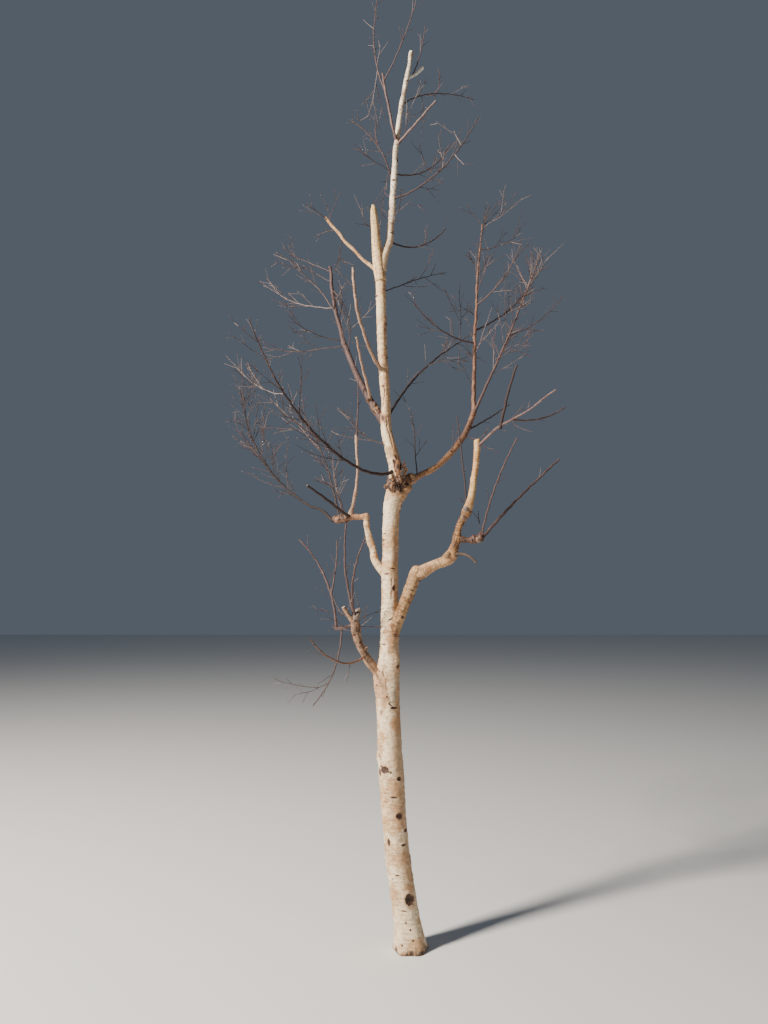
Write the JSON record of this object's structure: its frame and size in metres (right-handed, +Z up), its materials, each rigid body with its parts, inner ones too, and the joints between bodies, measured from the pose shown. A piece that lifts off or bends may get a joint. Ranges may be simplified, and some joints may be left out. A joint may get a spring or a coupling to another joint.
{
  "type": "silver birch tree",
  "caption": "Young silver birch in winter, pruned hard: a leaning white trunk, short cut boughs and bare new shoots.",
  "frame": {"origin": "centre of the flat cut under the trunk, at ground level", "axes": "+Z up along the tree, +X to the right in the front view, +Y away from the viewer"},
  "size_m": [1.6045, 1.0659, 4.5926],
  "materials": {
    "white_bark": "pale birch bark, matt, with dark lenticels, knots and scars",
    "tan_bark": "tan bark of cut boughs, matt and flaking",
    "young_bark": "smooth red-brown bark of young shoots"
  },
  "bodies": {
    "root": {"trunk": "white_bark", "leader": "white_bark", "cut_leader": "tan_bark", "low_left_bough": "tan_bark", "low_left_peg": "tan_bark", "low_left_arm": "young_bark", "low_left_rod": "young_bark", "low_left_rear_rod": "young_bark", "low_left_arm_rod": "young_bark", "low_left_arm_shoot": "young_bark", "low_left_drop": "young_bark", "low_left_side": "young_bark", "elbow_bough": "tan_bark", "elbow_arm": "tan_bark", "elbow_upright": "tan_bark", "elbow_upright_tip": "young_bark", "elbow_sweep": "young_bark", "elbow_spar": "young_bark", "elbow_fork": "young_bark", "swan_branch": "young_bark", "upper_left_bough": "tan_bark", "upper_left_whip": "young_bark", "inner_left_branch": "young_bark", "top_left_bough": "tan_bark", "right_high_bough": "tan_bark", "right_high_stem": "tan_bark", "right_high_outer": "young_bark", "right_high_mid": "young_bark", "right_high_upper": "young_bark", "right_high_inner": "young_bark", "right_high_side": "young_bark", "dark_right_branch": "young_bark", "right_low_bough": "tan_bark", "right_low_arm": "tan_bark", "right_low_riser": "tan_bark", "right_low_post": "tan_bark", "right_post_branch": "young_bark", "right_post_side": "young_bark", "right_post_spur": "young_bark", "right_knuckle_arm": "tan_bark", "right_knuckle_shoot": "young_bark", "right_knuckle_rod": "young_bark", "right_dead_arm": "young_bark", "right_rod": "young_bark", "leader_left_spar": "young_bark", "leader_left_whip": "young_bark", "leader_top_whip": "young_bark", "leader_right_spar": "young_bark", "leader_right_whip": "young_bark", "leader_top_peg": "young_bark", "leader_tip_whip": "young_bark", "leader_low_left": "young_bark", "leader_low_right": "young_bark", "leader_mid_right": "young_bark", "leader_foot_right": "young_bark"}
  },
  "joints": []
}
